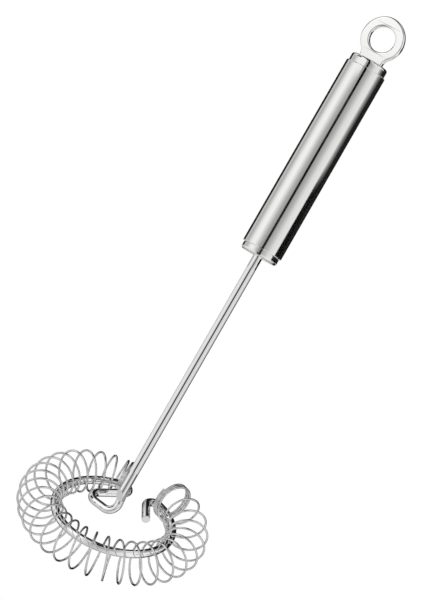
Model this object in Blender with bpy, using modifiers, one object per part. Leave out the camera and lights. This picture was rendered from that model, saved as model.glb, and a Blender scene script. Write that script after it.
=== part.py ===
"""Spiral whisk: a tubular handle, a straight stem, a bent wire ring and a long spring threaded round it.

Metres, +Z up. The origin is the centre of the hanging eye and the handle's axis is Z, so the head
hangs below. The front of the whisk faces -Y.
"""

import math

import bmesh
import bpy
import numpy as np
from mathutils import Matrix, Vector

MM = 0.001

# Clearances
SEAT_GAP = 0.3 * MM
SPRING_PLAY = 0.3 * MM

# Handle: a tube closed by two caps that stand in a little from its surface
GRIP_DIAMETER = 18.5 * MM
GRIP_LENGTH = 89.1 * MM
GRIP_WALL = 1.0 * MM
GRIP_EDGE = 0.25 * MM
CAP_STEP = 0.75 * MM
CAP_HEIGHT = 3.0 * MM
CAP_CORNER = 1.1 * MM
SPIGOT_LENGTH = 8.0 * MM
SPIGOT_CHAMFER = 0.8 * MM

# Hanging eye: a flat ring on a neck, with a thinner tang in the top cap's slot
EYE_DIAMETER = 19.4 * MM
EYE_HOLE = 11.3 * MM
EYE_THICKNESS = 3.0 * MM
EYE_EDGE = 0.6 * MM
EYE_RISE = 11.2 * MM
NECK_WIDTH = 11.3 * MM
NECK_FILLET = 4.0 * MM
TANG_SHOULDER = 1.2 * MM
TANG_THICKNESS = 2.0 * MM
TANG_LENGTH = 7.0 * MM

# Stem: a straight rod whose free tip is ground off at a slant, towards the front left
STEM_DIAMETER = 4.2 * MM
STEM_REACH = 119.6 * MM
STEM_TIP_ROUND = 1.2 * MM
STEM_BEVEL_LENGTH = 4.6 * MM
STEM_BEVEL_SLANT = math.radians(32.0)
STEM_BEVEL_FACING = math.radians(-28.0)

# Support wire: the ring and its bends lie in one plane, and only the riser leaves it.
# The riser stands behind the stem, its foot a little to the right and its top to the left.
WIRE_DIAMETER = 3.6 * MM
RING_DIAMETER = 52.0 * MM
RING_TILT = math.radians(35.0)
RING_DROP = 7.0 * MM
RING_SHIFT_X = 1.3 * MM
RING_SHIFT_Y = 2.0 * MM
RING_START = math.radians(20.9)
RING_END = math.radians(339.2)
RETURN_CLEARANCE = 1.3 * MM
RETURN_HEADING = math.radians(50.0)
RETURN_LENGTH = 19.2 * MM
SIDE_BEND_INSIDE = 2.2 * MM
FOOT_BEND_INSIDE = 2.7 * MM
FOOT_LEVEL = 0.6 * MM
FOOT_SIDE = math.radians(4.0)
RISER_SIDE = math.radians(18.7)
RISER_OVERLAP = 14.0 * MM
HOOK_OPENING = 2.8 * MM
HOOK_TURN = math.radians(140.0)
HOOK_LENGTH = 10.9 * MM

# Spring: free turns between closed end turns, all round the ring wire
SPRING_WIRE = 0.9 * MM
SPRING_DIAMETER_AT_STEM = 15.2 * MM
SPRING_DIAMETER = 19.7 * MM
SPRING_DIAMETER_AT_HOOK = 17.9 * MM
FREE_TURNS = 28
CLOSED_TURNS = 3
CLOSED_GAP = 0.5 * MM
PAST_RETURN = 0.1 * MM
PAST_HOOK = 0.2 * MM
SWELL_AT_STEM = 3.7
SWELL_AT_HOOK = 1.6
TURN_CROWDING = 0.13
LEAN_AT_STEM = 0.2
LEAN_FADE = 4
START_PHASE = math.radians(108.0)

# Bare steel finishes: a grey and a roughness
SATIN_STEEL = (0.80, 0.80, 0.79)
PALE_STEEL = (0.86, 0.86, 0.85)
POLISHED_STEEL = (0.81, 0.81, 0.82)
TUBE_ROUGHNESS = 0.28
CAP_ROUGHNESS = 0.26
EYE_ROUGHNESS = 0.34
WIRE_ROUGHNESS = 0.14

# Facets
ROUND_STEPS = 48
WIRE_SIDES = 12
STRAND_SIDES = 6
EYE_EDGE_STEPS = 1
ARC_STEP = math.radians(8.0)
BEND_STEP = math.radians(15.0)
RING_STEP = math.radians(5.0)
POINTS_PER_TURN = 10
SAMPLES_PER_CHORD = 10
CUT_MARGIN = 1.0 * MM
WELD_DISTANCE = 0.001 * MM
SMOOTH_ANGLE = math.radians(35.0)

# Levels along the handle's axis, from the eye down
TOP_FACE = -EYE_RISE
GRIP_TOP = TOP_FACE - CAP_HEIGHT - SEAT_GAP
GRIP_BOTTOM = GRIP_TOP - GRIP_LENGTH
BOTTOM_FACE = GRIP_BOTTOM - SEAT_GAP - CAP_HEIGHT
STEM_TOP = BOTTOM_FACE + CAP_HEIGHT + SPIGOT_LENGTH
STEM_TIP = BOTTOM_FACE - STEM_REACH
RING_LEVEL = STEM_TIP - RING_DROP

# Radii that follow from the sizes above
WIRE_RADIUS = WIRE_DIAMETER / 2
RING_RADIUS = RING_DIAMETER / 2
STRAND_RADIUS = SPRING_WIRE / 2
RETURN_BEND = (WIRE_DIAMETER + SPRING_PLAY + SPRING_WIRE + RETURN_CLEARANCE) / 2
HOOK_BEND = (WIRE_DIAMETER + HOOK_OPENING) / 2


def clear_scene():
    for old in list(bpy.data.objects):
        bpy.data.objects.remove(old)


def new_collection(name):
    made = bpy.data.collections.new(name)
    bpy.context.scene.collection.children.link(made)
    return made


def steel(name, shade, roughness):
    """A bare steel finish: a grey a little warmer or cooler than neutral, fully metallic."""
    material = bpy.data.materials.new(name)
    material.use_nodes = True
    surface = material.node_tree.nodes["Principled BSDF"]
    surface.inputs["Base Color"].default_value = (*shade, 1.0)
    surface.inputs["Metallic"].default_value = 1.0
    surface.inputs["Roughness"].default_value = roughness
    material.diffuse_color = (*shade, 1.0)
    return material


def add_object(name, data, collection, material=None):
    made = bpy.data.objects.new(name, data)
    collection.objects.link(made)
    if material:
        made.data.materials.append(material)
    return made


def arc(centre, radius, start, end, step):
    """Points on an arc in the XY plane, from the start angle to the end angle."""
    count = max(1, math.ceil(abs(end - start) / step))
    angles = [start + (end - start) * i / count for i in range(count + 1)]
    x, y = centre[:2]
    return [Vector((x + radius * math.cos(a), y + radius * math.sin(a), 0.0)) for a in angles]


def fillet(before, corner, after, radius, step):
    """Points on the arc that rounds the corner between two straight runs in space."""
    back = (before - corner).normalized()
    on = (after - corner).normalized()
    opening = back.angle(on)
    turn = math.pi - opening
    reach = radius / math.tan(opening / 2)
    first = corner + back * reach
    centre = corner + (back + on).normalized() * radius / math.sin(opening / 2)
    axis = back.cross(on)
    count = max(1, math.ceil(turn / step))
    spoke = first - centre
    return [centre + Matrix.Rotation(-turn * i / count, 3, axis) @ spoke for i in range(count + 1)]


def turned(name, profile, closed, collection, material):
    """A solid of revolution about Z: the profile runs from top to bottom along its outer side."""
    mesh = bpy.data.meshes.new(name)
    edges = [(i, i + 1) for i in range(len(profile) - 1)]
    if closed:
        edges.append((len(profile) - 1, 0))
    mesh.from_pydata([(x, 0.0, z) for x, z in profile], edges, [])
    made = add_object(name, mesh, collection, material)
    screw = made.modifiers.new("turn", "SCREW")
    screw.axis = "Z"
    screw.steps = ROUND_STEPS
    screw.render_steps = ROUND_STEPS
    screw.use_merge_vertices = True
    screw.merge_threshold = WELD_DISTANCE
    screw.use_smooth_shade = True
    return made


def corner_round(x, z, radius):
    """Profile points that round an outer bottom corner at (x, z)."""
    return [(p.x, p.y) for p in arc((x - radius, z + radius), radius, 0.0, -math.pi / 2, BEND_STEP)]


def wire_along(name, points, radius, sides, collection, material):
    """A round wire along a line of points, with flat ends. Its number of sides is even and at least 4."""
    curve = bpy.data.curves.new(name, "CURVE")
    curve.dimensions = "3D"
    curve.bevel_depth = radius
    curve.bevel_resolution = (sides - 4) // 2
    curve.use_fill_caps = True
    spline = curve.splines.new("POLY")
    spline.points.add(len(points) - 1)
    for place, point in zip(spline.points, points):
        place.co = (*point, 1.0)
    spline.use_smooth = True
    return add_object(name, curve, collection, material)


def as_mesh(made):
    """The object again as a mesh with welded caps, in place of its curve."""
    evaluated = made.evaluated_get(bpy.context.evaluated_depsgraph_get())
    mesh = bpy.data.meshes.new_from_object(evaluated)
    shell = bmesh.new()
    shell.from_mesh(mesh)
    bmesh.ops.remove_doubles(shell, verts=shell.verts, dist=WELD_DISTANCE)
    shell.to_mesh(mesh)
    shell.free()
    mesh.shade_smooth()
    mesh.set_sharp_from_angle(angle=SMOOTH_ANGLE)
    name = made.name
    collection = made.users_collection[0]
    placed = made.matrix_world.copy()
    bpy.data.objects.remove(made)
    solid = add_object(name, mesh, collection)
    solid.matrix_world = placed
    return solid


def block(name, size, centre, collection):
    """A box that joins or cuts another piece and is no piece itself."""
    shell = bmesh.new()
    bmesh.ops.create_cube(shell, size=1.0)
    bmesh.ops.scale(shell, vec=size, verts=shell.verts)
    mesh = bpy.data.meshes.new(name)
    shell.to_mesh(mesh)
    shell.free()
    made = add_object(name, mesh, collection)
    made.location = centre
    made.hide_render = True
    made.display_type = "WIRE"
    return made


def combine(made, tool, operation):
    boolean = made.modifiers.new(tool.name, "BOOLEAN")
    boolean.operation = operation
    boolean.solver = "EXACT"
    boolean.object = tool


def grip_tube(collection):
    """The handle's plain tube, open at both ends, with its edges just broken."""
    outer = GRIP_DIAMETER / 2
    bore = outer - GRIP_WALL
    profile = [
        (bore, GRIP_TOP),
        (outer - GRIP_EDGE, GRIP_TOP),
        (outer, GRIP_TOP - GRIP_EDGE),
        (outer, GRIP_BOTTOM + GRIP_EDGE),
        (outer - GRIP_EDGE, GRIP_BOTTOM),
        (bore, GRIP_BOTTOM),
    ]
    finish = steel("satin_steel_tube", SATIN_STEEL, TUBE_ROUGHNESS)
    return turned("grip_tube", profile, True, collection, finish)


def cap_profile(bore):
    """Half section of a cap that stands upside down on its face at z 0, with its spigot upwards."""
    face = GRIP_DIAMETER / 2 - CAP_STEP
    spigot = GRIP_DIAMETER / 2 - GRIP_WALL - SEAT_GAP
    end = CAP_HEIGHT + SPIGOT_LENGTH
    profile = [
        (bore, end),
        (spigot - SPIGOT_CHAMFER, end),
        (spigot, end - SPIGOT_CHAMFER),
        (spigot, CAP_HEIGHT),
        (face, CAP_HEIGHT),
    ]
    profile += corner_round(face, 0.0, CAP_CORNER)
    profile.append((bore, 0.0))
    return profile


def top_cap(collection, cutters):
    """The cap under the eye, turned over from its section, with the slot that takes the eye's tang."""
    finish = steel("satin_steel_top", SATIN_STEEL, CAP_ROUGHNESS)
    made = turned("top_cap", cap_profile(0.0), False, collection, finish)
    made.location.z = TOP_FACE
    made.rotation_euler.x = math.pi
    width = NECK_WIDTH - 2 * TANG_SHOULDER + 2 * SEAT_GAP
    depth = TANG_LENGTH + SEAT_GAP
    size = (width, TANG_THICKNESS + 2 * SEAT_GAP, depth + CUT_MARGIN)
    centre = (0.0, 0.0, TOP_FACE - depth + size[2] / 2)
    combine(made, block("tang_slot", size, centre, cutters), "DIFFERENCE")
    return made


def bottom_cap(collection):
    """The cap that holds the stem, bored right through."""
    bore = STEM_DIAMETER / 2 + SEAT_GAP
    finish = steel("satin_steel_bottom", SATIN_STEEL, CAP_ROUGHNESS)
    made = turned("bottom_cap", cap_profile(bore), True, collection, finish)
    made.location.z = BOTTOM_FACE
    return made


def eye_outline():
    """Outline of the eye's plate in its own plane: the ring, two hollow fillets and the neck's end."""
    outer = EYE_DIAMETER / 2
    half = NECK_WIDTH / 2
    foot = SEAT_GAP - EYE_RISE
    across = half + NECK_FILLET
    drop = math.sqrt((outer + NECK_FILLET) ** 2 - across**2)
    meet = math.atan2(-drop, across)
    ring = arc((0.0, 0.0), outer, meet, math.pi - meet, ARC_STEP)
    left = arc((-across, -drop), NECK_FILLET, -meet, 0.0, BEND_STEP)
    right = arc((across, -drop), NECK_FILLET, math.pi, math.pi + meet, BEND_STEP)
    ends = [Vector((-half, foot, 0.0)), Vector((half, foot, 0.0))]
    return ring + left[1:] + ends + right[:-1]


def hanging_eye(collection, cutters):
    """A plate cut to the eye's outline, its edges rounded over, joined to the tang below it."""
    curve = bpy.data.curves.new("hanging_eye", "CURVE")
    curve.dimensions = "2D"
    curve.fill_mode = "BOTH"
    curve.extrude = EYE_THICKNESS / 2 - EYE_EDGE
    curve.bevel_depth = EYE_EDGE
    curve.bevel_resolution = EYE_EDGE_STEPS
    curve.offset = -EYE_EDGE
    hole = arc((0.0, 0.0), EYE_HOLE / 2, 0.0, math.tau, ARC_STEP)[:-1]
    for outline in (eye_outline(), hole):
        spline = curve.splines.new("POLY")
        spline.points.add(len(outline) - 1)
        for place, point in zip(spline.points, outline):
            place.co = (*point, 1.0)
        spline.use_cyclic_u = True
    finish = steel("satin_steel_eye", PALE_STEEL, EYE_ROUGHNESS)
    made = add_object("hanging_eye", curve, collection, finish)
    made.rotation_euler.x = math.pi / 2
    bpy.context.view_layer.update()
    made = as_mesh(made)
    top = -(EYE_DIAMETER + EYE_HOLE) / 4
    bottom = TOP_FACE - TANG_LENGTH
    size = (NECK_WIDTH - 2 * TANG_SHOULDER, TANG_THICKNESS, top - bottom)
    centre = (0.0, 0.0, (top + bottom) / 2)
    combine(made, block("tang", size, centre, cutters), "UNION")
    return made


def stem_rod(collection, cutters):
    """The straight stem: its top is set in the bottom cap, and its free tip is rounded and bevelled."""
    radius = STEM_DIAMETER / 2
    tip = min(STEM_TIP_ROUND, radius)
    profile = [(0.0, STEM_TOP), (radius, STEM_TOP)] + corner_round(radius, STEM_TIP, tip)
    if tip < radius:
        profile.append((0.0, STEM_TIP))
    finish = steel("polished_steel_stem", POLISHED_STEEL, WIRE_ROUGHNESS)
    made = turned("stem_rod", profile, False, collection, finish)
    slant = Matrix.Rotation(STEM_BEVEL_FACING, 4, "Z") @ Matrix.Rotation(STEM_BEVEL_SLANT, 4, "X")
    side = 2 * (STEM_BEVEL_LENGTH + STEM_DIAMETER)
    surface = Matrix.Rotation(STEM_BEVEL_FACING, 3, "Z") @ Vector((0.0, -radius, 0.0))
    start = surface + Vector((0.0, 0.0, STEM_TIP + STEM_BEVEL_LENGTH))
    grinder = block("stem_bevel", (side, side, side), (0.0, 0.0, 0.0), cutters)
    grinder.matrix_world = Matrix.Translation(start) @ slant @ Matrix.Translation((0.0, -side / 2, 0.0))
    combine(made, grinder, "DIFFERENCE")
    return made


def head_frame(collection):
    """An empty at the ring's centre whose Z is square to the ring, on which the spring turns."""
    made = bpy.data.objects.new("head_frame", None)
    collection.objects.link(made)
    made.location = (RING_SHIFT_X, RING_SHIFT_Y, RING_LEVEL)
    made.rotation_euler.x = RING_TILT
    return made


def to_head(x, y, z):
    """A place given from the ring's centre along the world's axes, in the head frame's own axes."""
    return Matrix.Rotation(-RING_TILT, 3, "X") @ Vector((x, y, z))


def on_ring(angle, radius):
    """A place in the ring's plane; angles start at the back and grow towards the left."""
    return Vector((-radius * math.sin(angle), radius * math.cos(angle), 0.0))


def beside_stem(side, level):
    """A place on the riser's centre line, at an angle from straight behind the stem, in the head frame."""
    nearest = STEM_DIAMETER / 2 + SEAT_GAP + WIRE_RADIUS
    away = nearest / math.cos((FOOT_SIDE + RISER_SIDE) / 2)
    return to_head(away * math.sin(side) - RING_SHIFT_X, away * math.cos(side) - RING_SHIFT_Y, level)


def ring_wire(collection, head):
    """One wire: riser, foot, side bend, return bend, ring and hook, in the head's frame."""
    quarter = math.pi / 2
    return_centre = on_ring(RING_START, RING_RADIUS - RETURN_BEND)
    return_bend = arc(return_centre, RETURN_BEND, RETURN_HEADING - quarter, quarter + RING_START, BEND_STEP)
    heading = Vector((math.cos(RETURN_HEADING), math.sin(RETURN_HEADING), 0.0))
    side = return_bend[0] - heading * RETURN_LENGTH
    foot = beside_stem(FOOT_SIDE, FOOT_LEVEL)
    riser_top = beside_stem(-RISER_SIDE, RING_DROP + RISER_OVERLAP)

    ring = arc((0.0, 0.0), RING_RADIUS, quarter + RING_START, quarter + RING_END, RING_STEP)
    hook_centre = on_ring(RING_END, RING_RADIUS - HOOK_BEND)
    hook_end = quarter + RING_END + HOOK_TURN
    hook = arc(hook_centre, HOOK_BEND, quarter + RING_END, hook_end, BEND_STEP)
    leg = Vector((-math.sin(hook_end), math.cos(hook_end), 0.0)) * HOOK_LENGTH

    points = [riser_top]
    points += fillet(riser_top, foot, side, FOOT_BEND_INSIDE + WIRE_RADIUS, BEND_STEP)
    points += fillet(foot, side, return_bend[0], SIDE_BEND_INSIDE + WIRE_RADIUS, BEND_STEP)
    points += return_bend + ring[1:] + hook[1:]
    points.append(hook[-1] + leg)
    finish = steel("polished_steel_ring", POLISHED_STEEL, WIRE_ROUGHNESS)
    made = wire_along("ring_wire", points, WIRE_RADIUS, WIRE_SIDES, collection, finish)
    made.parent = head
    return made


def strand_reach():
    """How far inside the ring wire's centre the spring's strand passes, counting its flat chords."""
    return (WIRE_RADIUS + SPRING_PLAY + STRAND_RADIUS) / math.cos(math.pi / POINTS_PER_TURN)


def closed_step(lean):
    """The angle round the ring from one closed turn to the next."""
    spacing = (SPRING_WIRE + CLOSED_GAP) * math.hypot(1.0, lean)
    return spacing / (RING_RADIUS - strand_reach())


def spring_point(turn):
    """A point on the spring's centre line, counted in turns from the stem's end."""
    inside = RING_RADIUS - strand_reach()
    stem_step = closed_step(LEAN_AT_STEM)
    hook_step = closed_step(0.0)
    total = FREE_TURNS + 2 * CLOSED_TURNS
    first_pass = (START_PHASE + math.pi) / math.tau
    start = RING_START - PAST_RETURN / inside - first_pass * stem_step
    end = RING_END + PAST_HOOK / inside + (1.0 - first_pass) * hook_step
    free_start = start + CLOSED_TURNS * stem_step
    free_end = end - CLOSED_TURNS * hook_step
    share = min(max((turn - CLOSED_TURNS) / FREE_TURNS, 0.0), 1.0)
    spread = share - TURN_CROWDING * share * (1.0 - share)
    if turn < CLOSED_TURNS:
        angle = start + turn * stem_step
    elif turn > CLOSED_TURNS + FREE_TURNS:
        angle = end - (total - turn) * hook_step
    else:
        angle = free_start + (free_end - free_start) * spread

    side = 2.0 * share - 1.0
    at_end = SPRING_DIAMETER_AT_STEM if side < 0.0 else SPRING_DIAMETER_AT_HOOK
    swell = SWELL_AT_STEM if side < 0.0 else SWELL_AT_HOOK
    diameter = SPRING_DIAMETER + (at_end - SPRING_DIAMETER) * abs(side) ** swell
    radius = diameter / 2 - STRAND_RADIUS
    phase = START_PHASE - math.tau * turn
    height = radius * math.sin(phase)
    out = inside + radius * (1.0 + math.cos(phase))
    lean = LEAN_AT_STEM * max(-side, 0.0) ** LEAN_FADE
    return on_ring(angle, out) + on_ring(angle + math.pi / 2, -lean * height) + Vector((0.0, 0.0, height))


def least_gap(points):
    """The smallest clear distance between one turn of the spring and the next."""
    chords = np.array([tuple(p) for p in points])
    steps = np.linspace(0.0, 1.0, SAMPLES_PER_CHORD, endpoint=False)[:, None]
    line = np.concatenate([a + (b - a) * steps for a, b in zip(chords[:-1], chords[1:])])
    half_turn = POINTS_PER_TURN * SAMPLES_PER_CHORD // 2
    nearest = min(
        np.linalg.norm(line[i + half_turn:] - line[i], axis=1).min() for i in range(len(line) - half_turn)
    )
    return nearest - SPRING_WIRE


def spiral_spring(collection, head):
    """The spring, as one unbroken wire whose two ends run straight for one wire diameter."""
    count = (FREE_TURNS + 2 * CLOSED_TURNS) * POINTS_PER_TURN
    points = [spring_point(i / POINTS_PER_TURN) for i in range(count + 1)]
    print(f"spring: least gap to itself {least_gap(points) / MM:.2f} mm")
    first = points[0] + (points[0] - points[1]).normalized() * SPRING_WIRE
    last = points[-1] + (points[-1] - points[-2]).normalized() * SPRING_WIRE
    points = [first] + points + [last]
    finish = steel("bright_steel_spring", POLISHED_STEEL, WIRE_ROUGHNESS)
    made = wire_along("spiral_spring", points, STRAND_RADIUS, STRAND_SIDES, collection, finish)
    made.parent = head
    return made


def main():
    clear_scene()
    whisk = new_collection("spiral_whisk")
    cutters = new_collection("cutters")
    grip_tube(whisk)
    top_cap(whisk, cutters)
    bottom_cap(whisk)
    hanging_eye(whisk, cutters)
    stem_rod(whisk, cutters)
    head = head_frame(whisk)
    ring_wire(whisk, head)
    spiral_spring(whisk, head)


main()
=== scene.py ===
"""Looks of the spiral whisk: polished and satin steel in a soft white studio.

Metres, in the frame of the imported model: the origin is the centre of the hanging eye, the handle's
axis is Z and the front faces -Y. The sizes are those of the CAD part, with finer curves. Only the
spring's run, the top cap's crown, and the eye's edge and crown are closer to the photograph.
"""

import math

import bmesh
import bpy
from mathutils import Matrix, Vector

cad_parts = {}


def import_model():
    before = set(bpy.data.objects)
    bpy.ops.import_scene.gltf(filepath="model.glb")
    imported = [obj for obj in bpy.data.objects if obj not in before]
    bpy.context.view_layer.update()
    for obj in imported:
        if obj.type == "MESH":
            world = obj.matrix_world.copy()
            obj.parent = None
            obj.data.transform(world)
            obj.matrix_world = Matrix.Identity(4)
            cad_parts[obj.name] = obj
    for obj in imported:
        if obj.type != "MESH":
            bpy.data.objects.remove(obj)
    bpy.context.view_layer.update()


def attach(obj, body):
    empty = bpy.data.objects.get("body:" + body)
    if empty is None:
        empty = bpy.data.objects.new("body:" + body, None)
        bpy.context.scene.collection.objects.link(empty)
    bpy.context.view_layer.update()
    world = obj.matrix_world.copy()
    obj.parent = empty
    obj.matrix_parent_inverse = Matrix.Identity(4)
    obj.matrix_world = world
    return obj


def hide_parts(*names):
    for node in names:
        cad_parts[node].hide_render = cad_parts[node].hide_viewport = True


MM = 0.001

# Clearances
SEAT_GAP = 0.3 * MM
SPRING_PLAY = 0.3 * MM

# Handle
GRIP_DIAMETER = 18.5 * MM
GRIP_LENGTH = 89.1 * MM
GRIP_WALL = 1.0 * MM
GRIP_EDGE = 0.25 * MM
CAP_STEP = 0.75 * MM
CAP_HEIGHT = 3.0 * MM
CAP_CORNER = 1.1 * MM
CAP_CROWN = 0.6 * MM  # how much further the top cap's face stands out than the solid's
SPIGOT_LENGTH = 8.0 * MM

# Hanging eye
EYE_DIAMETER = 19.4 * MM
EYE_HOLE = 11.3 * MM
EYE_THICKNESS = 3.0 * MM
EYE_EDGE = 0.8 * MM
EYE_CROWN = 0.6 * MM  # how much taller than round the eye is at its top
EYE_RISE = 11.2 * MM
NECK_WIDTH = 11.3 * MM
NECK_FILLET = 4.0 * MM
TANG_SHOULDER = 1.2 * MM
TANG_THICKNESS = 2.0 * MM
TANG_LENGTH = 7.0 * MM
TANG_RISE = 2 * SEAT_GAP  # how far the tang reaches up from the cap's face, into the eye's neck

# Stem
STEM_DIAMETER = 4.2 * MM
STEM_REACH = 119.6 * MM
STEM_TIP_ROUND = 1.2 * MM
STEM_BEVEL_LENGTH = 4.6 * MM
STEM_BEVEL_SLANT = math.radians(32.0)
STEM_BEVEL_FACING = math.radians(-28.0)

# Support wire
WIRE_DIAMETER = 3.6 * MM
WIRE_EDGE = 0.35 * MM
RING_DIAMETER = 52.0 * MM
RING_TILT = math.radians(35.0)
RING_DROP = 7.0 * MM
RING_SHIFT_X = 1.3 * MM
RING_SHIFT_Y = 2.0 * MM
RING_START = math.radians(20.9)
RING_END = math.radians(339.2)
RETURN_CLEARANCE = 1.3 * MM
RETURN_HEADING = math.radians(50.0)
RETURN_LENGTH = 19.2 * MM
SIDE_BEND_INSIDE = 2.2 * MM
FOOT_BEND_INSIDE = 2.7 * MM
FOOT_LEVEL = 0.6 * MM
FOOT_SIDE = math.radians(4.0)
RISER_SIDE = math.radians(18.7)
RISER_OVERLAP = 14.0 * MM
HOOK_OPENING = 2.8 * MM
HOOK_TURN = math.radians(140.0)
HOOK_LENGTH = 10.9 * MM

# Spring
SPRING_WIRE = 0.9 * MM
SPRING_DIAMETER_AT_STEM = 16.1 * MM
SPRING_DIAMETER = 19.5 * MM
SPRING_DIAMETER_AT_HOOK = 18.3 * MM
SWELL_AT_STEM = 5.5
SWELL_AT_HOOK = 1.5
FREE_TURNS = 28
CLOSED_TURNS = 3
CLOSED_STEP = math.radians(1.75)
SPRING_START = math.radians(17.2)
SPRING_END = math.radians(337.9)
START_PHASE = math.radians(132.4)
EASE = 0.1 * MM  # room added between the ring and the turns at both ends
END_FADE = 4  # the power by which that room and the ends' lean, slant, height and rise fade

# How far the turns are from even, as a spring bent round a ring is: their spacing along the run,
# the stretch next to the closed turns, and their lean, slant, height and rise at the stem's end and
# at the hook's. LEAN and RISE are for all turns.
CROWDING = (-0.12, 0.05, -0.15)
END_STRETCH = (math.radians(0.3), math.radians(2.0))
LEAN = -0.034
END_LEAN = (0.14, -0.02)
END_SLANT = (-0.23, 0.0)
END_HEIGHT = (-0.04, -0.07)
RISE = -0.08 * MM
END_RISE = (0.55 * MM, 1.6 * MM)

# Smoothness of the curves
ROUND_STEPS = 144
WIRE_SIDES = 32
STRAND_SIDES = 12
POINTS_PER_TURN = 36
FINE_STEP = math.radians(2.5)
CORNER_STEP = math.radians(7.5)
EYE_EDGE_STEPS = 4
WIRE_END_STEPS = (0.0, 0.12, 0.35, 0.65, 1.0)
SMOOTH_ANGLE = math.radians(32.0)
SUPPORT = 0.12 * MM  # how near the ends of a flat run its extra points are
LONG_RUN = 3 * SUPPORT  # the shortest run that gets them
FLAT_FACE = 0.999  # the least part of a face's normal along Y that counts as flat
WELD_DISTANCE = 0.001 * MM

# Levels along the handle's axis, from the eye down
TOP_FACE = -EYE_RISE
GRIP_TOP = TOP_FACE - CAP_HEIGHT - SEAT_GAP
GRIP_BOTTOM = GRIP_TOP - GRIP_LENGTH
BOTTOM_FACE = GRIP_BOTTOM - SEAT_GAP - CAP_HEIGHT
STEM_TOP = BOTTOM_FACE + CAP_HEIGHT + SPIGOT_LENGTH
STEM_TIP = BOTTOM_FACE - STEM_REACH
RING_CENTRE = Vector((RING_SHIFT_X, RING_SHIFT_Y, STEM_TIP - RING_DROP))

# Radii that follow from the sizes above
WIRE_RADIUS = WIRE_DIAMETER / 2
RING_RADIUS = RING_DIAMETER / 2
STRAND_RADIUS = SPRING_WIRE / 2
STRAND_EDGE = STRAND_RADIUS / 3
RETURN_BEND = (WIRE_DIAMETER + SPRING_PLAY + SPRING_WIRE + RETURN_CLEARANCE) / 2
HOOK_BEND = (WIRE_DIAMETER + HOOK_OPENING) / 2

# Camera: the photograph's direction and roll, through a long lens
TO_CAMERA = Vector((0.28450, -0.95782, -0.04188))
PICTURE_UP = Vector((-0.46771, -0.17681, 0.86608))
VIEW_ASIDE = 41.3 * MM
VIEW_ABOVE = 92.2 * MM
VIEW_HEIGHT = 255.3 * MM
CAMERA_DISTANCE = 3.0
CAMERA_REACH = 100.0
FILM_HEIGHT = 36.0
CAMERA_BEARING = math.atan2(TO_CAMERA.y, TO_CAMERA.x)

# Finishes: colour, roughness and its spread, and the grain's stretch by axis, its scale and depth
SATIN = ((0.88, 0.88, 0.87), 0.09, 0.02, (0.02, 0.02, 1.0), 6000.0, 0.04)
PALE_SATIN = ((0.95, 0.95, 0.94), 0.17, 0.03, (1.0, 1.0, 1.0), 4000.0, 0.04)
POLISHED = ((0.90, 0.90, 0.90), 0.025, 0.01, (1.0, 1.0, 0.1), 3000.0, 0.03)
BRIGHT = ((0.76, 0.76, 0.76), 0.03, 0.01, (1.0, 1.0, 1.0), 3000.0, 0.03)
CLOUD_SCALE = 60.0
CLOUD_DETAIL = 3.0
CLOUD_RANGE = (0.3, 0.7)
CLOUD_SHADE = 0.97
GRAIN_DETAIL = 2.0
GRAIN_HEIGHT = 0.01 * MM

# Studio. Bearings go round the handle in degrees, 0 towards the camera and growing to its right.
# Each belt of the surroundings is a list of (bearing, light). A RISE is the range of height, in
# degrees, over which one belt blends into the next. The lights of the belts, the panels and the
# stem's cards were worked out from the photograph's brightness outside this script, and rounded.
# Most of the belts' stops come from a scratch program's table, and report.md says which.
LIGHT_LEVEL = 1.18
PLAIN_LIGHT = 0.9
BLACK = 0.01
LEVEL_BELT = [
    (-180, 0.01), (-133, 0.01), (-125, 0.60), (-112, 0.40), (-103, 0.40), (-74, 0.82), (-55, 0.86),
    (-37, 0.59), (-26, 0.41), (-9.2, 0.31), (-8, 0.0), (3.4, 0.0), (4.6, 0.31), (21, 0.40),
    (43, 0.67), (50, 0.71), (61, 0.72), (70, 0.78), (80, 0.46), (88, 0.22), (103, 0.06),
    (109, 0.01),
]
UPPER_BELT = [
    (-180, 0.01), (-140, 0.04), (-127, 0.38), (-112, 0.72), (-97, 0.86), (-82, 0.56), (-60, 0.76),
    (-45, 0.82), (-22, 0.46), (-5, 0.32), (8, 0.32), (22, 0.64), (45, 0.92), (70, 0.74), (85, 0.74),
    (100, 0.62), (115, 0.38), (130, 0.04),
]
LOW_WALL_BELT = [
    (-180, 0.01), (-142, 0.01), (-127, 0.42), (-112, 0.60), (-97, 1.00), (-80, 0.50), (-60, 0.78),
    (-40, 0.84), (-22, 0.55), (0, 0.42), (22, 0.66), (45, 0.84), (67, 0.80), (82, 0.92), (97, 0.62),
    (112, 0.34), (127, 0.03), (150, 0.01),
]
LOWER_BELT = [
    (-180, 0.42), (-140, 0.42), (-112, 0.50), (-97, 0.62), (-52, 0.60), (-22, 0.50), (22, 0.52),
    (45, 0.60), (82, 0.78), (97, 0.66), (112, 0.42), (142, 0.40),
]
ZENITH_LIGHT = 0.34
ZENITH_RISE = (38.0, 56.0)
UPPER_RISE = (5.5, 9.0)
LOW_WALL_RISE = (-3.5, -0.5)
LOWER_RISE = (-38.0, -28.0)
HORIZON_RISE = (-2.0, 2.0)

# Panels and black flags about the studio: bearings from and to, heights from and to, and light
PATCHES = [
    (-6, 40, 55, 90, 0.80),
    (-126, -22, 60, 84, 0.05),
    (-149, -130, 16, 46, 0.60),
    (-98, -62, 2, 42, 0.01),
    (-60, -34, 5, 35, 1.15),
    (-10, 8, 9, 30, 0.60),
    (46, 55, 12, 28, 0.02),
    (112, 146, 6, 48, 0.01),
]
PATCH_EDGE = 3.0

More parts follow.
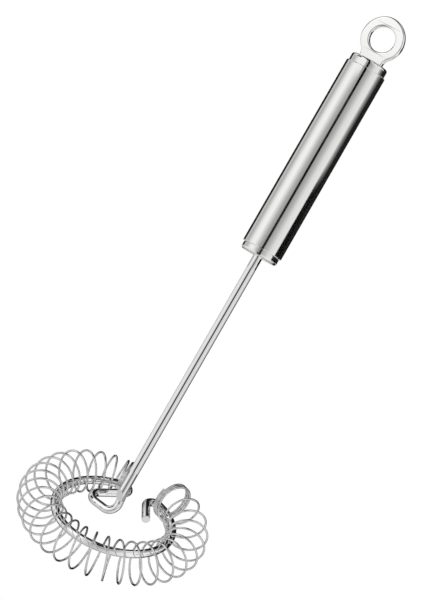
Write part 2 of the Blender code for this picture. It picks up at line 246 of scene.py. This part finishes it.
# Black areas above level, by how far a direction points straight behind the object (back) and to
# the camera's right (side), each from -1 to 1: a wall behind, a canopy over it and an arm that
# reaches to the front
WALL_BACK = (0.56, 0.62)
CANOPY_BACK = (0.04, 0.10)
CANOPY_LEFT = (-0.50, -0.42)
CANOPY_RIGHT = (0.45, 0.25)
ARM_SIDES = (-0.34, 0.00)
ARM_EDGE = 0.04
ARM_RISE = (24.0, 28.0)

# Floor
FLOOR_LEVEL = -420 * MM
FLOOR_SIZE = 12.0
FLOOR_SHADE = 0.85
FLOOR_LIFT = 0.30

# Studio cards, seen only in the steel. A FADE is the range of a card's height, from 0 to 1, over
# which it fades in.
CARD_SEGMENTS = 24

# A black one beside the handle
FLAG_BEARINGS = (77.0, 112.0)
FLAG_LEVELS = (-103 * MM, -48 * MM)
FLAG_DISTANCE = 150 * MM
FLAG_FADE = (1.0, 0.7)

# A white one before the eye
BOUNCE_BEARINGS = (-48.0, -20.0)
BOUNCE_LEVELS = (2 * MM, 70 * MM)
BOUNCE_DISTANCE = 300 * MM
BOUNCE_FADE = (0.0, 0.1)
BOUNCE_LIGHT = 1.02

# Sloping ones round the stem as (bearings, light), and their inner and outer (distance, level)
ROD_CARDS = [
    ((-156, -128), 0.62), ((-112, -38), 0.86), ((-20, 5), 0.02), ((9, 30), 0.74), ((82, 113), 0.62),
]
ROD_SLOPE = [(60 * MM, -212 * MM), (527 * MM, -87 * MM)]

# A black one that carries the handle's dark line over the top cap's edge
SEAM_BEARINGS = (-8.0, 3.4)
SEAM_DISTANCE = 150 * MM
SEAM_HEIGHT = 255 * MM

# A pale one low behind the handle, which shows in its back
BACK_BEARINGS = (125.0, 235.0)
BACK_DISTANCES = (60 * MM, 2500 * MM)
BACK_LEVEL = -112 * MM
BACK_LIGHT = 0.72


def linear(part):
    """A share of full light, as given, for a node's colour."""
    return (part, part, part, 1.0)


def node(tree, kind, **settings):
    made = tree.nodes.new(kind)
    for name, value in settings.items():
        setattr(made, name, value)
    return made


def arc(centre, radius, start, end, step=FINE_STEP):
    """Points on an arc in the XY plane, from the start angle to the end angle."""
    count = max(1, math.ceil(abs(end - start) / step))
    angles = [start + (end - start) * i / count for i in range(count + 1)]
    x, y = centre[:2]
    return [Vector((x + radius * math.cos(a), y + radius * math.sin(a), 0.0)) for a in angles]


def fillet(before, corner, after, radius):
    """Points on the arc that rounds the corner between two straight runs in space."""
    back = (before - corner).normalized()
    on = (after - corner).normalized()
    opening = back.angle(on)
    turn = math.pi - opening
    first = corner + back * radius / math.tan(opening / 2)
    centre = corner + (back + on).normalized() * radius / math.sin(opening / 2)
    axis = back.cross(on)
    count = max(1, math.ceil(turn / FINE_STEP))
    spoke = first - centre
    return [centre + Matrix.Rotation(-turn * i / count, 3, axis) @ spoke for i in range(count + 1)]


def finished(obj, cad_node, body, material):
    """Gives a piece its finish, lets it stand for its CAD node and fixes it to its body."""
    obj.data.materials.clear()
    obj.data.materials.append(material)
    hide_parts(cad_node)
    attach(obj, body)


def new_object(name, data):
    made = bpy.data.objects.new(name, data)
    bpy.context.scene.collection.objects.link(made)
    return made


def shaded(mesh):
    mesh.shade_smooth()
    mesh.set_sharp_from_angle(angle=SMOOTH_ANGLE)
    return mesh


def supported(profile):
    """A profile with points near both ends of each long run, which keep its shading straight."""
    made = [profile[0]]
    for a, b in zip(profile, profile[1:]):
        length = math.dist(a, b)
        if length > LONG_RUN:
            for part in (SUPPORT / length, 1.0 - SUPPORT / length):
                made.append((a[0] + (b[0] - a[0]) * part, a[1] + (b[1] - a[1]) * part))
        made.append(b)
    return made


def turned(name, profile):
    """A solid of revolution about Z from a profile of (radius, height)."""
    profile = supported(profile)
    shell = bmesh.new()
    points = [shell.verts.new((r, 0.0, z)) for r, z in profile]
    edges = [shell.edges.new(pair) for pair in zip(points, points[1:])]
    bmesh.ops.spin(
        shell, geom=points + edges, cent=(0, 0, 0), axis=(0, 0, 1),
        angle=math.tau, steps=ROUND_STEPS, use_duplicate=False,
    )
    bmesh.ops.remove_doubles(shell, verts=shell.verts, dist=WELD_DISTANCE)
    bmesh.ops.recalc_face_normals(shell, faces=shell.faces)
    mesh = bpy.data.meshes.new(name)
    shell.to_mesh(mesh)
    shell.free()
    return new_object(name, shaded(mesh))


def wire(name, points, radius, sides, edge):
    """A round wire along a line of points, with its two ends' edges rounded off."""
    def end(tip, inner):
        run = (inner - tip).normalized()
        made = []
        for step in WIRE_END_STEPS:
            cut = 1.0 - math.sqrt(1.0 - (1.0 - step) ** 2)
            made.append((tip + run * edge * step, 1.0 - edge / radius * cut))
        return made

    first = end(points[0], points[1])
    last = end(points[-1], points[-2])
    line = first + [(p, 1.0) for p in points[1:-1]] + last[::-1]
    curve = bpy.data.curves.new(name, "CURVE")
    curve.dimensions = "3D"
    curve.bevel_depth = radius
    curve.bevel_resolution = (sides - 4) // 2
    curve.use_fill_caps = True
    spline = curve.splines.new("POLY")
    spline.points.add(len(line) - 1)
    for place, (point, width) in zip(spline.points, line):
        place.co = (*point, 1.0)
        place.radius = width
    spline.use_smooth = True
    return new_object(name, curve)


def corner_round(x, z, radius):
    """Profile points that round an outer bottom corner at (x, z)."""
    centre = (x - radius, z + radius)
    return [(p.x, p.y) for p in arc(centre, radius, 0.0, -math.pi / 2, CORNER_STEP)]


def grip_tube():
    outer = GRIP_DIAMETER / 2
    bore = outer - GRIP_WALL
    bottom = corner_round(outer, GRIP_BOTTOM, GRIP_EDGE)
    top = [(r, GRIP_TOP + GRIP_BOTTOM - z) for r, z in reversed(bottom)]
    profile = [(bore, GRIP_TOP)] + top + bottom + [(bore, GRIP_BOTTOM), (bore, GRIP_TOP)]
    return turned("grip_tube_visual", profile)


def cap(name, bore, crown=0.0):
    """A cap with its spigot upwards and its face at z 0, or lower by the crown."""
    face = GRIP_DIAMETER / 2 - CAP_STEP
    spigot = GRIP_DIAMETER / 2 - GRIP_WALL - SEAT_GAP
    end = CAP_HEIGHT + SPIGOT_LENGTH
    profile = [(bore, end), (spigot, end), (spigot, CAP_HEIGHT), (face, CAP_HEIGHT)]
    profile += corner_round(face, -crown, CAP_CORNER) + [(bore, -crown)]
    if bore:
        profile.append((bore, end))
    return turned(name, profile)


def eye_outline():
    """Outline of the eye's plate in its own plane."""
    outer = EYE_DIAMETER / 2
    half = NECK_WIDTH / 2
    foot = SEAT_GAP - EYE_RISE
    across = half + NECK_FILLET
    drop = math.sqrt((outer + NECK_FILLET) ** 2 - across**2)
    meet = math.atan2(-drop, across)
    crown = 1.0 + EYE_CROWN / outer
    ring = arc((0.0, 0.0), outer, meet, math.pi - meet)
    for p in ring:
        p.y *= crown if p.y > 0.0 else 1.0
    left = arc((-across, -drop), NECK_FILLET, -meet, 0.0)
    right = arc((across, -drop), NECK_FILLET, math.pi, math.pi + meet)
    return ring + left[1:] + [Vector((-half, foot, 0.0)), Vector((half, foot, 0.0))] + right[:-1]


def hanging_eye():
    curve = bpy.data.curves.new("eye", "CURVE")
    curve.dimensions = "2D"
    curve.fill_mode = "BOTH"
    curve.extrude = EYE_THICKNESS / 2 - EYE_EDGE
    curve.bevel_depth = EYE_EDGE
    curve.bevel_resolution = EYE_EDGE_STEPS
    curve.offset = -EYE_EDGE
    for outline in (eye_outline(), arc((0.0, 0.0), EYE_HOLE / 2, 0.0, math.tau)[:-1]):
        spline = curve.splines.new("POLY")
        spline.points.add(len(outline) - 1)
        for place, point in zip(spline.points, outline):
            place.co = (*point, 1.0)
        spline.use_cyclic_u = True
    flat = new_object("eye", curve)
    flat.rotation_euler.x = math.pi / 2
    bpy.context.view_layer.update()
    shell = bmesh.new()
    shell.from_mesh(flat.evaluated_get(bpy.context.evaluated_depsgraph_get()).to_mesh())
    shell.transform(flat.matrix_world)
    bmesh.ops.remove_doubles(shell, verts=shell.verts, dist=WELD_DISTANCE)
    bpy.data.objects.remove(flat)
    shell.normal_update()
    faces = [f for f in shell.faces if abs(f.normal.y) > FLAT_FACE]
    bmesh.ops.inset_region(shell, faces=faces, thickness=SUPPORT, use_even_offset=True)
    top = TOP_FACE + TANG_RISE
    bottom = TOP_FACE - TANG_LENGTH
    size = Matrix.Diagonal((NECK_WIDTH - 2 * TANG_SHOULDER, TANG_THICKNESS, top - bottom, 1.0))
    tang = Matrix.Translation((0, 0, (top + bottom) / 2)) @ size
    bmesh.ops.create_cube(shell, size=1.0, matrix=tang)
    mesh = bpy.data.meshes.new("hanging_eye_visual")
    shell.to_mesh(mesh)
    shell.free()
    return new_object("hanging_eye_visual", shaded(mesh))


def stem_rod():
    """The stem, with its tip rounded and then ground off at a slant."""
    radius = STEM_DIAMETER / 2
    profile = [(0.0, STEM_TOP), (radius, STEM_TOP)] + corner_round(radius, STEM_TIP, STEM_TIP_ROUND)
    made = turned("stem_rod_visual", profile + [(0.0, STEM_TIP)])
    facing = Matrix.Rotation(STEM_BEVEL_FACING, 3, "Z")
    start = facing @ Vector((0.0, -radius, 0.0)) + Vector((0.0, 0.0, STEM_TIP + STEM_BEVEL_LENGTH))
    normal = facing @ Matrix.Rotation(STEM_BEVEL_SLANT, 3, "X") @ Vector((0.0, -1.0, 0.0))
    shell = bmesh.new()
    shell.from_mesh(made.data)
    cut = bmesh.ops.bisect_plane(
        shell, geom=shell.verts[:] + shell.edges[:] + shell.faces[:],
        plane_co=start, plane_no=normal, clear_outer=True,
    )
    rim = [e for e in cut["geom_cut"] if isinstance(e, bmesh.types.BMEdge)]
    bmesh.ops.contextual_create(shell, geom=rim)
    shell.to_mesh(made.data)
    shell.free()
    shaded(made.data)
    return made


def to_head(x, y, z):
    """A place given from the ring's centre along the world's axes, in the ring's own axes."""
    return Matrix.Rotation(-RING_TILT, 3, "X") @ Vector((x, y, z))


def from_head(points):
    """Places in the ring's own axes, in the world."""
    turn = Matrix.Rotation(RING_TILT, 3, "X")
    return [RING_CENTRE + turn @ p for p in points]


def on_ring(angle, radius):
    """A place in the ring's plane; angles start at the back and grow towards the left."""
    return Vector((-radius * math.sin(angle), radius * math.cos(angle), 0.0))


def beside_stem(side, level):
    """A place on the riser's centre line, at an angle from straight behind the stem."""
    nearest = STEM_DIAMETER / 2 + SEAT_GAP + WIRE_RADIUS
    away = nearest / math.cos((FOOT_SIDE + RISER_SIDE) / 2)
    x, y = away * math.sin(side), away * math.cos(side)
    return to_head(x - RING_SHIFT_X, y - RING_SHIFT_Y, level)


def ring_wire():
    """One wire: riser, foot, side bend, return bend, ring and hook."""
    quarter = math.pi / 2
    return_centre = on_ring(RING_START, RING_RADIUS - RETURN_BEND)
    return_bend = arc(return_centre, RETURN_BEND, RETURN_HEADING - quarter, quarter + RING_START)
    heading = Vector((math.cos(RETURN_HEADING), math.sin(RETURN_HEADING), 0.0))
    side = return_bend[0] - heading * RETURN_LENGTH
    foot = beside_stem(FOOT_SIDE, FOOT_LEVEL)
    riser_top = beside_stem(-RISER_SIDE, RING_DROP + RISER_OVERLAP)
    ring = arc((0.0, 0.0), RING_RADIUS, quarter + RING_START, quarter + RING_END)
    hook_centre = on_ring(RING_END, RING_RADIUS - HOOK_BEND)
    hook_end = quarter + RING_END + HOOK_TURN
    hook = arc(hook_centre, HOOK_BEND, quarter + RING_END, hook_end)
    leg = Vector((-math.sin(hook_end), math.cos(hook_end), 0.0)) * HOOK_LENGTH
    points = [riser_top]
    points += fillet(riser_top, foot, side, FOOT_BEND_INSIDE + WIRE_RADIUS)
    points += fillet(foot, side, return_bend[0], SIDE_BEND_INSIDE + WIRE_RADIUS)
    points += return_bend + ring[1:] + hook[1:]
    points.append(hook[-1] + leg)
    return wire("ring_wire_visual", from_head(points), WIRE_RADIUS, WIRE_SIDES, WIRE_EDGE)


def spring_point(turn):
    """A point on the spring's centre line, counted in turns from the stem's end."""
    past = turn - CLOSED_TURNS
    left = FREE_TURNS - past
    share = min(max(past / FREE_TURNS, 0.0), 1.0)
    side = 2.0 * share - 1.0
    free_start = SPRING_START + CLOSED_TURNS * CLOSED_STEP
    free_end = SPRING_END - CLOSED_TURNS * CLOSED_STEP
    if past < 0.0:
        angle = free_start + past * CLOSED_STEP
    elif left < 0.0:
        angle = free_end - left * CLOSED_STEP
    else:
        first, second, third = CROWDING
        uneven = share * (1.0 - share) * (first - second * side + third * side**2)
        angle = free_start + (free_end - free_start) * (share + uneven)
    angle += END_STRETCH[0] * math.exp(-max(past, 0.0)) + END_STRETCH[1] * math.exp(-max(left, 0.0))

    at_end = SPRING_DIAMETER_AT_STEM if side < 0.0 else SPRING_DIAMETER_AT_HOOK
    swell = SWELL_AT_STEM if side < 0.0 else SWELL_AT_HOOK
    radius = (SPRING_DIAMETER + (at_end - SPRING_DIAMETER) * abs(side) ** swell) / 2 - STRAND_RADIUS
    near = abs(side) ** END_FADE
    end = 0 if side < 0.0 else 1
    phase = START_PHASE - math.tau * turn
    height = radius * (1.0 + near * END_HEIGHT[end]) * math.sin(phase) + RISE + near * END_RISE[end]
    inside = RING_RADIUS - WIRE_RADIUS - SPRING_PLAY - STRAND_RADIUS - EASE * near
    out = inside + radius * (1.0 + math.cos(phase))
    along = near * END_SLANT[end] * radius * math.cos(phase)
    along -= (LEAN + near * END_LEAN[end]) * height
    return on_ring(angle, out) + on_ring(angle + math.pi / 2, along) + Vector((0.0, 0.0, height))


def spiral_spring():
    count = (FREE_TURNS + 2 * CLOSED_TURNS) * POINTS_PER_TURN
    points = [spring_point(i / POINTS_PER_TURN) for i in range(count + 1)]
    first = points[0] + (points[0] - points[1]).normalized() * SPRING_WIRE
    last = points[-1] + (points[-1] - points[-2]).normalized() * SPRING_WIRE
    line = from_head([first] + points + [last])
    return wire("spiral_spring_visual", line, STRAND_RADIUS, STRAND_SIDES, STRAND_EDGE)


def steel(name, shade, roughness, spread, stretch, grain, depth):
    """Bare steel: its colour and roughness vary a little in soft clouds, over a fine grain."""
    material = bpy.data.materials.new(name)
    material.use_nodes = True
    tree = material.node_tree
    surface = tree.nodes["Principled BSDF"]
    surface.inputs["Metallic"].default_value = 1.0
    place = node(tree, "ShaderNodeTexCoord")

    clouds = node(tree, "ShaderNodeTexNoise")
    clouds.inputs["Scale"].default_value = CLOUD_SCALE
    clouds.inputs["Detail"].default_value = CLOUD_DETAIL
    tree.links.new(place.outputs["Object"], clouds.inputs["Vector"])
    gloss = node(tree, "ShaderNodeMapRange")
    gloss.inputs["From Min"].default_value, gloss.inputs["From Max"].default_value = CLOUD_RANGE
    gloss.inputs["To Min"].default_value = roughness - spread
    gloss.inputs["To Max"].default_value = roughness + spread
    tree.links.new(clouds.outputs["Fac"], gloss.inputs["Value"])
    tree.links.new(gloss.outputs["Result"], surface.inputs["Roughness"])
    tone = node(tree, "ShaderNodeValToRGB")
    tone.color_ramp.elements[0].color = (*(CLOUD_SHADE * s for s in shade), 1.0)
    tone.color_ramp.elements[1].color = (*shade, 1.0)
    tree.links.new(clouds.outputs["Fac"], tone.inputs["Fac"])
    tree.links.new(tone.outputs["Color"], surface.inputs["Base Color"])

    stretched = node(tree, "ShaderNodeMapping")
    stretched.inputs["Scale"].default_value = stretch
    tree.links.new(place.outputs["Object"], stretched.inputs["Vector"])
    lines = node(tree, "ShaderNodeTexNoise")
    lines.inputs["Scale"].default_value = grain
    lines.inputs["Detail"].default_value = GRAIN_DETAIL
    tree.links.new(stretched.outputs["Vector"], lines.inputs["Vector"])
    bump = node(tree, "ShaderNodeBump")
    bump.inputs["Strength"].default_value = depth
    bump.inputs["Distance"].default_value = GRAIN_HEIGHT
    tree.links.new(lines.outputs["Fac"], bump.inputs["Height"])
    tree.links.new(bump.outputs["Normal"], surface.inputs["Normal"])
    return material


def slope(tree, value, start, end):
    """A smooth step from 0 to 1 between two values."""
    step = node(tree, "ShaderNodeMapRange", interpolation_type="SMOOTHSTEP")
    step.inputs["From Min"].default_value = start
    step.inputs["From Max"].default_value = end
    tree.links.new(value, step.inputs["Value"])
    return step.outputs["Result"]


def product(tree, first, second):
    both = node(tree, "ShaderNodeMath", operation="MULTIPLY")
    tree.links.new(first, both.inputs[0])
    tree.links.new(second, both.inputs[1])
    return both.outputs["Value"]


def blended(tree, factor, below, above):
    """The first light or colour where the factor is 0, and the second where it is 1."""
    mix = node(tree, "ShaderNodeMix", data_type="RGBA")
    tree.links.new(factor, mix.inputs["Factor"])
    for socket, side in (("A", below), ("B", above)):
        if isinstance(side, float):
            mix.inputs[socket].default_value = linear(side)
        else:
            tree.links.new(side, mix.inputs[socket])
    return mix.outputs["Result"]


def belt(tree, around, stops):
    """A belt of the surroundings: its light by bearing."""
    walls = node(tree, "ShaderNodeValToRGB")
    for i, (angle, light) in enumerate(stops):
        place = (angle + 180.0) / 360.0
        stop = walls.color_ramp.elements[i] if i < 2 else walls.color_ramp.elements.new(place)
        stop.position = place
        stop.color = linear(light)
    tree.links.new(around, walls.inputs["Fac"])
    return walls.outputs["Color"]


def world_directions(tree):
    """Each direction's share of the way round, bearing, height, side and back."""
    direction = node(tree, "ShaderNodeTexCoord").outputs["Generated"]
    turn = node(tree, "ShaderNodeMapping")
    turn.inputs["Rotation"].default_value = (0.0, 0.0, -CAMERA_BEARING)
    tree.links.new(direction, turn.inputs["Vector"])
    around = node(tree, "ShaderNodeTexGradient", gradient_type="RADIAL")
    tree.links.new(turn.outputs["Vector"], around.inputs["Vector"])
    bearing = node(tree, "ShaderNodeMath", operation="MULTIPLY_ADD")
    bearing.inputs[1].default_value = 360.0
    bearing.inputs[2].default_value = -180.0
    tree.links.new(around.outputs["Fac"], bearing.inputs[0])
    parts = node(tree, "ShaderNodeSeparateXYZ")
    tree.links.new(turn.outputs["Vector"], parts.inputs["Vector"])
    rise = node(tree, "ShaderNodeMath", operation="ARCSINE")
    tree.links.new(parts.outputs["Z"], rise.inputs[0])
    height = node(tree, "ShaderNodeMath", operation="DEGREES")
    tree.links.new(rise.outputs["Value"], height.inputs[0])
    behind = node(tree, "ShaderNodeVectorMath", operation="DOT_PRODUCT")
    behind.inputs[1].default_value = -TO_CAMERA.normalized()
    tree.links.new(direction, behind.inputs[0])
    return (
        around.outputs["Fac"], bearing.outputs["Value"], height.outputs["Value"],
        parts.outputs["Y"], behind.outputs["Value"],
    )


def overhead(tree, around, height, side, back):
    """The light above level: the upper belt and the zenith, with the black arm, wall and canopy."""
    upper = belt(tree, around, UPPER_BELT)
    upper = blended(tree, slope(tree, height, *ZENITH_RISE), upper, ZENITH_LIGHT)
    left, right = ARM_SIDES
    arm = blended(tree, slope(tree, side, left, left + ARM_EDGE), upper, BLACK)
    arm = blended(tree, slope(tree, side, right - ARM_EDGE, right), arm, upper)
    above = blended(tree, slope(tree, height, *ARM_RISE), upper, arm)
    above = blended(tree, slope(tree, back, *WALL_BACK), above, BLACK)
    canopy = slope(tree, back, *CANOPY_BACK)
    for edge in (CANOPY_LEFT, CANOPY_RIGHT):
        canopy = product(tree, canopy, slope(tree, side, *edge))
    return blended(tree, canopy, above, BLACK)


def studio_walls(tree):
    """The light that a reflection meets in each direction."""
    around, bearing, height, side, back = world_directions(tree)
    lower, low_wall, middle = (
        belt(tree, around, stops) for stops in (LOWER_BELT, LOW_WALL_BELT, LEVEL_BELT)
    )
    below = blended(tree, slope(tree, height, *LOWER_RISE), lower, low_wall)
    above = overhead(tree, around, height, side, back)
    walls = blended(tree, slope(tree, height, *HORIZON_RISE), below, above)
    for left, right, low, high, light in PATCHES:
        inside = slope(tree, bearing, left, left + PATCH_EDGE)
        inside = product(tree, inside, slope(tree, bearing, right, right - PATCH_EDGE))
        inside = product(tree, inside, slope(tree, height, low, low + PATCH_EDGE))
        inside = product(tree, inside, slope(tree, height, high, high - PATCH_EDGE))
        walls = blended(tree, inside, walls, light)
    level = blended(tree, slope(tree, height, *LOW_WALL_RISE), walls, middle)
    return blended(tree, slope(tree, height, *UPPER_RISE), level, walls)


def studio_world():
    """White to the camera, soft walls with dark gaps to reflections, and plain light otherwise."""
    world = bpy.data.worlds.new("studio")
    bpy.context.scene.world = world
    world.use_nodes = True
    tree = world.node_tree
    tree.nodes.clear()
    rays = node(tree, "ShaderNodeLightPath")
    reflected = node(tree, "ShaderNodeBackground")
    reflected.inputs["Strength"].default_value = LIGHT_LEVEL
    tree.links.new(studio_walls(tree), reflected.inputs["Color"])
    plain = node(tree, "ShaderNodeBackground")
    plain.inputs["Color"].default_value = linear(PLAIN_LIGHT)
    seen = node(tree, "ShaderNodeBackground")
    seen.inputs["Color"].default_value = linear(1.0)
    first = node(tree, "ShaderNodeMixShader")
    second = node(tree, "ShaderNodeMixShader")
    out = node(tree, "ShaderNodeOutputWorld")
    tree.links.new(rays.outputs["Is Glossy Ray"], first.inputs["Fac"])
    tree.links.new(plain.outputs["Background"], first.inputs[1])
    tree.links.new(reflected.outputs["Background"], first.inputs[2])
    tree.links.new(rays.outputs["Is Camera Ray"], second.inputs["Fac"])
    tree.links.new(first.outputs["Shader"], second.inputs[1])
    tree.links.new(seen.outputs["Background"], second.inputs[2])
    tree.links.new(second.outputs["Shader"], out.inputs["Surface"])


def studio_card(name, bearings, edges, light, fade=None):
    """A card round the handle that only reflections see, and only from the handle's side of it.

    Its two edges are given as (distance, level), the lower or inner one first.
    """
    shell = bmesh.new()
    rows = []
    for distance, level in edges:
        row = []
        for i in range(CARD_SEGMENTS + 1):
            bearing = bearings[0] + (bearings[1] - bearings[0]) * i / CARD_SEGMENTS
            angle = CAMERA_BEARING + math.radians(bearing)
            x, y = distance * math.cos(angle), distance * math.sin(angle)
            row.append(shell.verts.new((x, y, level)))
        rows.append(row)
    for i in range(CARD_SEGMENTS):
        shell.faces.new((rows[0][i], rows[0][i + 1], rows[1][i + 1], rows[1][i]))
    mesh = bpy.data.meshes.new(name)
    shell.to_mesh(mesh)
    shell.free()
    card = new_object(name, mesh)
    material = bpy.data.materials.new(name)
    material.use_nodes = True
    tree = material.node_tree
    tree.nodes.clear()
    shown = node(tree, "ShaderNodeNewGeometry").outputs["Backfacing"]
    if fade:
        place = node(tree, "ShaderNodeTexCoord")
        split = node(tree, "ShaderNodeSeparateXYZ")
        tree.links.new(place.outputs["Generated"], split.inputs["Vector"])
        shown = product(tree, shown, slope(tree, split.outputs["Z"], *fade))
    glow = node(tree, "ShaderNodeEmission")
    glow.inputs["Color"].default_value = linear(light)
    clear = node(tree, "ShaderNodeBsdfTransparent")
    mix = node(tree, "ShaderNodeMixShader")
    out = node(tree, "ShaderNodeOutputMaterial")
    tree.links.new(shown, mix.inputs["Fac"])
    tree.links.new(clear.outputs["BSDF"], mix.inputs[1])
    tree.links.new(glow.outputs["Emission"], mix.inputs[2])
    tree.links.new(mix.outputs["Shader"], out.inputs["Surface"])
    mesh.materials.append(material)
    card.visible_camera = False
    card.visible_diffuse = False
    card.visible_shadow = False


def upright(distance, levels):
    """Edges of a card that stands upright."""
    return [(distance, level) for level in levels]


def studio_cards():
    black = upright(FLAG_DISTANCE, FLAG_LEVELS)
    studio_card("black_card", FLAG_BEARINGS, black, light=0.0, fade=FLAG_FADE)
    white = upright(BOUNCE_DISTANCE, BOUNCE_LEVELS)
    studio_card("white_card", BOUNCE_BEARINGS, white, BOUNCE_LIGHT, fade=BOUNCE_FADE)
    for i, (bearings, light) in enumerate(ROD_CARDS):
        studio_card(f"rod_card_{i}", bearings, ROD_SLOPE, light)
    over = upright(SEAM_DISTANCE, (TOP_FACE, TOP_FACE + SEAM_HEIGHT))
    studio_card("seam_over", SEAM_BEARINGS, over, light=0.0)
    low = [(distance, BACK_LEVEL) for distance in BACK_DISTANCES]
    studio_card("back_card", BACK_BEARINGS, low, BACK_LIGHT)


def studio_floor():
    """A plain white floor that lifts what the camera sees to the background's white."""
    mesh = bpy.data.meshes.new("floor")
    shell = bmesh.new()
    bmesh.ops.create_grid(shell, x_segments=1, y_segments=1, size=FLOOR_SIZE / 2)
    shell.to_mesh(mesh)
    shell.free()
    floor = new_object("floor", mesh)
    floor.location.z = FLOOR_LEVEL
    floor.visible_glossy = False
    material = bpy.data.materials.new("floor_white")
    material.use_nodes = True
    tree = material.node_tree
    tree.nodes.clear()
    matt = node(tree, "ShaderNodeBsdfDiffuse")
    matt.inputs["Color"].default_value = linear(FLOOR_SHADE)
    glow = node(tree, "ShaderNodeEmission")
    rays = node(tree, "ShaderNodeLightPath")
    lift = node(tree, "ShaderNodeMath", operation="MULTIPLY")
    lift.inputs[1].default_value = FLOOR_LIFT
    both = node(tree, "ShaderNodeAddShader")
    out = node(tree, "ShaderNodeOutputMaterial")
    tree.links.new(rays.outputs["Is Camera Ray"], lift.inputs[0])
    tree.links.new(lift.outputs["Value"], glow.inputs["Strength"])
    tree.links.new(matt.outputs["BSDF"], both.inputs[0])
    tree.links.new(glow.outputs["Emission"], both.inputs[1])
    tree.links.new(both.outputs["Shader"], out.inputs["Surface"])
    mesh.materials.append(material)


def photo_camera():
    """A camera far off in the photograph's direction, rolled as the photograph is."""
    away = TO_CAMERA.normalized()
    right = PICTURE_UP.cross(TO_CAMERA).normalized()
    up = TO_CAMERA.cross(right).normalized()
    target = RING_CENTRE + right * VIEW_ASIDE + up * VIEW_ABOVE
    data = bpy.data.cameras.new("photo_camera")
    data.sensor_fit = "VERTICAL"
    data.sensor_height = FILM_HEIGHT
    data.lens = FILM_HEIGHT * CAMERA_DISTANCE / VIEW_HEIGHT
    data.clip_end = CAMERA_REACH
    camera = new_object("photo_camera", data)
    turn = Matrix((right, up, away)).transposed().to_4x4()
    camera.matrix_world = Matrix.Translation(target + away * CAMERA_DISTANCE) @ turn
    bpy.context.scene.camera = camera


def main():
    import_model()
    bpy.context.scene.view_settings.view_transform = "Standard"
    photo_camera()
    studio_world()
    studio_floor()
    studio_cards()

    satin = steel("satin_steel", *SATIN)
    pale = steel("pale_satin_steel", *PALE_SATIN)
    polished = steel("polished_steel", *POLISHED)
    bright = steel("bright_spring_steel", *BRIGHT)

    finished(grip_tube(), "grip_tube", "handle", satin)
    top = cap("top_cap_visual", 0.0, CAP_CROWN)
    top.matrix_world = Matrix.Translation((0, 0, TOP_FACE)) @ Matrix.Rotation(math.pi, 4, "X")
    finished(top, "top_cap", "handle", satin)
    bottom = cap("bottom_cap_visual", STEM_DIAMETER / 2 + SEAT_GAP)
    bottom.matrix_world = Matrix.Translation((0, 0, BOTTOM_FACE))
    finished(bottom, "bottom_cap", "handle", satin)
    finished(hanging_eye(), "hanging_eye", "handle", pale)
    finished(stem_rod(), "stem_rod", "handle", polished)
    finished(ring_wire(), "ring_wire", "handle", polished)
    finished(spiral_spring(), "spiral_spring", "spring", bright)


main()
